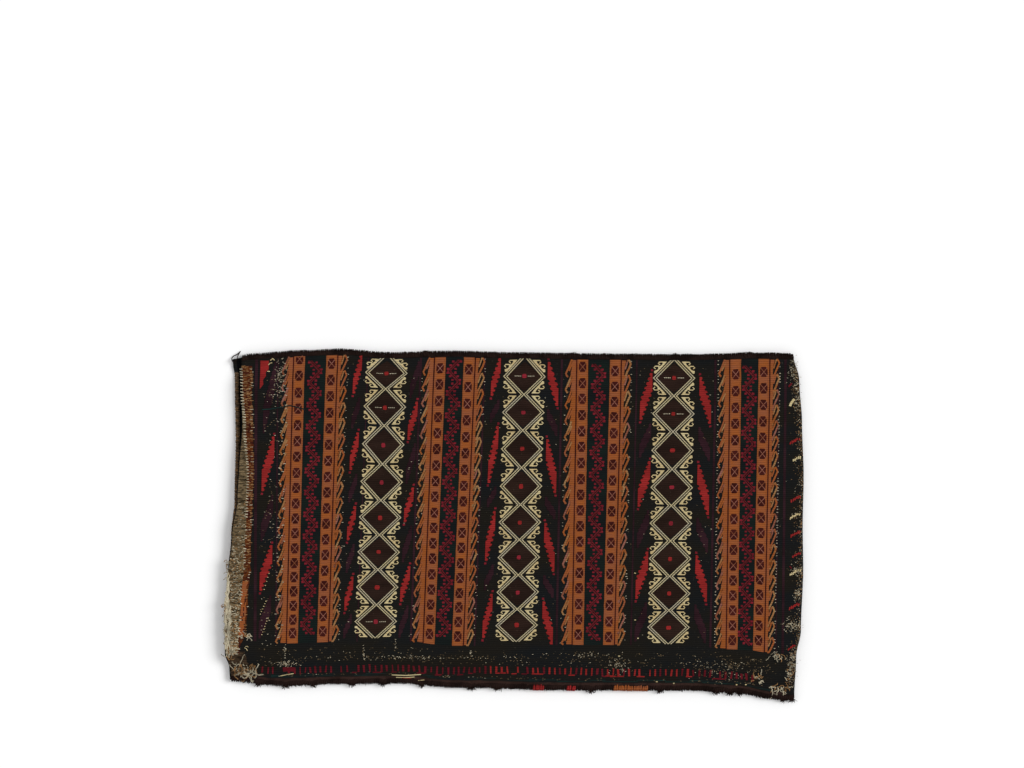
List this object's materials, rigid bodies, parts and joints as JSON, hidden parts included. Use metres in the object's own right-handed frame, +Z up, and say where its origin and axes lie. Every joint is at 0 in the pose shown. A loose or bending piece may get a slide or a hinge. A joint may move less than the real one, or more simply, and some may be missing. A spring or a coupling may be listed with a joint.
{
  "type": "flatweave bag",
  "caption": "Folded wool flatweave bag with an open mouth at one short end and laced long sides, patterned with diamonds, box bands and zigzags.",
  "frame": {"origin": "centre of the bag's footprint, on the surface that it lies on", "axes": "+X from the open mouth towards the folded end, +Y towards the upper laced side, +Z up out of the patterned front"},
  "size_m": [0.926, 0.5607, 0.019],
  "materials": {
    "patterned_wool": "matt wool flatweave, near-black ground with orange, red, crimson and cream pattern yarns",
    "goat_hair_yarn": "coarse dark-brown goat-hair yarn, slightly glossy"
  },
  "bodies": {
    "root": {"bag_cloth": "patterned_wool", "upper_side_lacing": "goat_hair_yarn", "lower_side_lacing": "goat_hair_yarn"}
  },
  "joints": []
}
